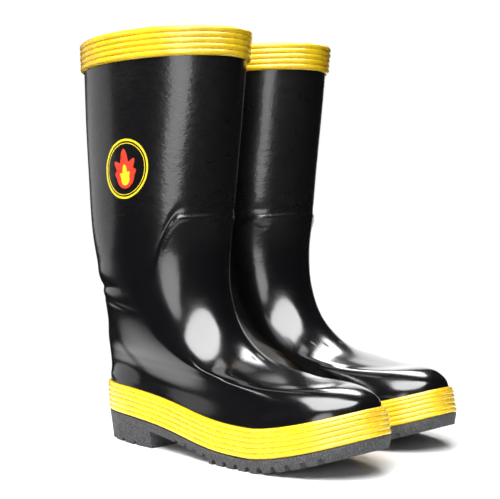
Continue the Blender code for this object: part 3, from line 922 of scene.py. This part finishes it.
def ink(name, dark, light):
    """Printed ink that lies on the rubber, slightly worn."""
    paint = Paint(name, Coat_Weight=0.3, Coat_Roughness=0.15)
    wear = paint.noise(700.0, detail=4.0)
    paint.colour(paint.remap(wear, 0.25, 0.5, 0.0, 1.0), dark, light)
    paint.roughness(paint.remap(paint.noise(150.0), 0.3, 0.7, 0.3, 0.5))
    paint.bump(wear, 0.04, 0.6)
    return paint.material


def floor_white():
    paint = Paint("studio_floor_white", Specular_IOR_Level=0.1)
    tone = paint.noise(2.0)
    paint.colour(tone, (0.90, 0.90, 0.90), (0.92, 0.92, 0.92))
    paint.roughness(paint.remap(tone, 0.3, 0.7, 0.85, 0.95))
    reach = paint.tree.nodes.new("ShaderNodeVectorMath")
    reach.operation = "LENGTH"
    paint.link(paint.place(), reach.inputs[0])
    paint.link(paint.remap(reach.outputs["Value"], *FLOOR_FADE, 1.0, 0.0),
               paint.shader.inputs["Alpha"])
    return paint.material


CARRIED_OVER = {
    "heel_core": sponge, "midsole_filler": sponge, "toe_cap_strip": sponge,
    "steel_midsole": rolled_steel, "steel_toe_cap": rolled_steel,
    "insole_board": fibre_board, "heel_counter": fibre_board, "vamp_ply": canvas_ply,
}


def build_boots():
    rubber = black_rubber()
    yellow = yellow_rubber()
    sole = sole_rubber()
    knit = knitted_lining()
    cloth = footbed_cloth()
    yellow_ink = ink("badge_ink_yellow", (0.55, 0.42, 0.01), (0.90, 0.72, 0.02))
    red_ink = ink("badge_ink_red", (0.40, 0.02, 0.01), (0.80, 0.05, 0.02))
    inner = {make: make() for make in set(CARRIED_OVER.values())}
    for boot in (Boot("right", -1), Boot("left", 1)):
        add_upper(boot, rubber)
        add_lining(boot, knit)
        add_foxing(boot, yellow)
        add_rim(boot, yellow)
        add_outsole(boot, sole)
        add_footbed(boot, cloth)
        add_badge(boot, yellow_ink, red_ink)
        for label, make in CARRIED_OVER.items():
            slots = frame["nodes"][boot.node(label)].data.materials
            slots.clear()
            slots.append(inner[make])


# ---------------------------------------------------------------- studio

def aim(item, target):
    direction = Vector(target) - item.location
    item.rotation_euler = direction.to_track_quat("-Z", "Y").to_euler()


def place_around(centre, azimuth, elevation, distance):
    """The place at a distance from a centre, in a given direction."""
    turn = math.radians(azimuth)
    rise = math.radians(elevation)
    return (centre[0] + distance * math.cos(rise) * math.cos(turn),
            centre[1] - distance * math.cos(rise) * math.sin(turn),
            centre[2] + distance * math.sin(rise))


def add_softbox(name, azimuth, elevation, distance, size, radiance, glossy=True, diffuse=True):
    """A soft oval light of a given brightness, aimed at the boots.

    It can be left out of the reflections (glossy) or of the plain lighting (diffuse).
    """
    data = bpy.data.lights.new(name, "AREA")
    data.shape = "ELLIPSE"
    data.size, data.size_y = size
    data.energy = radiance * math.pi * size[0] * size[1] * 0.25 * math.pi
    light = bpy.data.objects.new(name, data)
    light.location = place_around(LOOK_AT, azimuth, elevation, distance)
    bpy.context.scene.collection.objects.link(light)
    aim(light, LOOK_AT)
    light.visible_glossy = glossy
    light.visible_diffuse = diffuse
    light.visible_camera = False


def add_sky_light(name, azimuth, elevation, strength, spread):
    """An even light from a wide part of the sky, without reflections."""
    data = bpy.data.lights.new(name, "SUN")
    data.energy = strength
    data.angle = math.radians(spread)
    light = bpy.data.objects.new(name, data)
    light.location = place_around(WORLD_CENTRE, azimuth, elevation, SUN_DISTANCE)
    bpy.context.scene.collection.objects.link(light)
    aim(light, WORLD_CENTRE)
    light.visible_glossy = False


def add_floor(material):
    mesh = bpy.data.meshes.new("studio_floor")
    bm = bmesh.new()
    bmesh.ops.create_circle(bm, cap_ends=True, segments=128, radius=FLOOR_RADIUS)
    bm.to_mesh(mesh)
    bm.free()
    mesh.materials.append(material)
    floor = bpy.data.objects.new("studio_floor", mesh)
    bpy.context.scene.collection.objects.link(floor)


def add_world():
    """A white backdrop; to everything but direct view the studio's far walls are dark."""
    world = bpy.data.worlds.new("studio")
    world.use_nodes = True
    nodes = world.node_tree.nodes
    links = world.node_tree.links
    backdrop = nodes["Background"]
    backdrop.inputs["Color"].default_value = (1.0, 1.0, 1.0, 1.0)
    walls = nodes.new("ShaderNodeBackground")
    walls.inputs["Color"].default_value = (0.014, 0.014, 0.016, 1.0)
    path = nodes.new("ShaderNodeLightPath")
    mix = nodes.new("ShaderNodeMixShader")
    links.new(path.outputs["Is Camera Ray"], mix.inputs["Fac"])
    links.new(walls.outputs["Background"], mix.inputs[1])
    links.new(backdrop.outputs["Background"], mix.inputs[2])
    links.new(mix.outputs["Shader"], nodes["World Output"].inputs["Surface"])
    bpy.context.scene.world = world


def add_lights():
    add_softbox("key_fill", 66.0, 52.0, 1.5, (1.9, 1.2), 7.4, glossy=False)
    add_softbox("key_gloss", 34.0, 57.0, 1.5, (2.3, 1.6), 13.0, diffuse=False)
    add_softbox("back_right_top", -122.0, 46.0, 1.5, (1.1, 0.8), 10.5)
    add_softbox("front_strip", 60.0, 4.0, 1.7, (0.9, 0.9), 4.4)
    add_softbox("left_panel", 165.0, 3.0, 1.5, (1.5, 0.8), 0.8)
    add_softbox("left_low", 126.0, 24.0, 1.5, (0.6, 0.22), 9.0)
    add_softbox("back_panel", -120.0, 4.0, 1.5, (0.35, 0.8), 1.6)
    add_sky_light("overhead", 120.0, 68.0, 1.2, 35.0)


def add_camera():
    data = bpy.data.cameras.new("camera")
    data.sensor_width = CAMERA_SENSOR
    data.lens = CAMERA_LENS
    camera = bpy.data.objects.new("camera", data)
    turn = math.radians(CAMERA_AZIMUTH)
    camera.location = (
        CAMERA_DISTANCE * math.sin(turn) + CAMERA_ASIDE * math.cos(turn),
        -CAMERA_DISTANCE * math.cos(turn) + CAMERA_ASIDE * math.sin(turn),
        CAMERA_HEIGHT)
    camera.rotation_euler = (math.radians(90.0 + CAMERA_PITCH), 0.0, turn)
    bpy.context.scene.collection.objects.link(camera)
    bpy.context.scene.camera = camera


bpy.context.scene.view_settings.view_transform = "Standard"
build_boots()
add_floor(floor_white())
add_world()
add_lights()
add_camera()
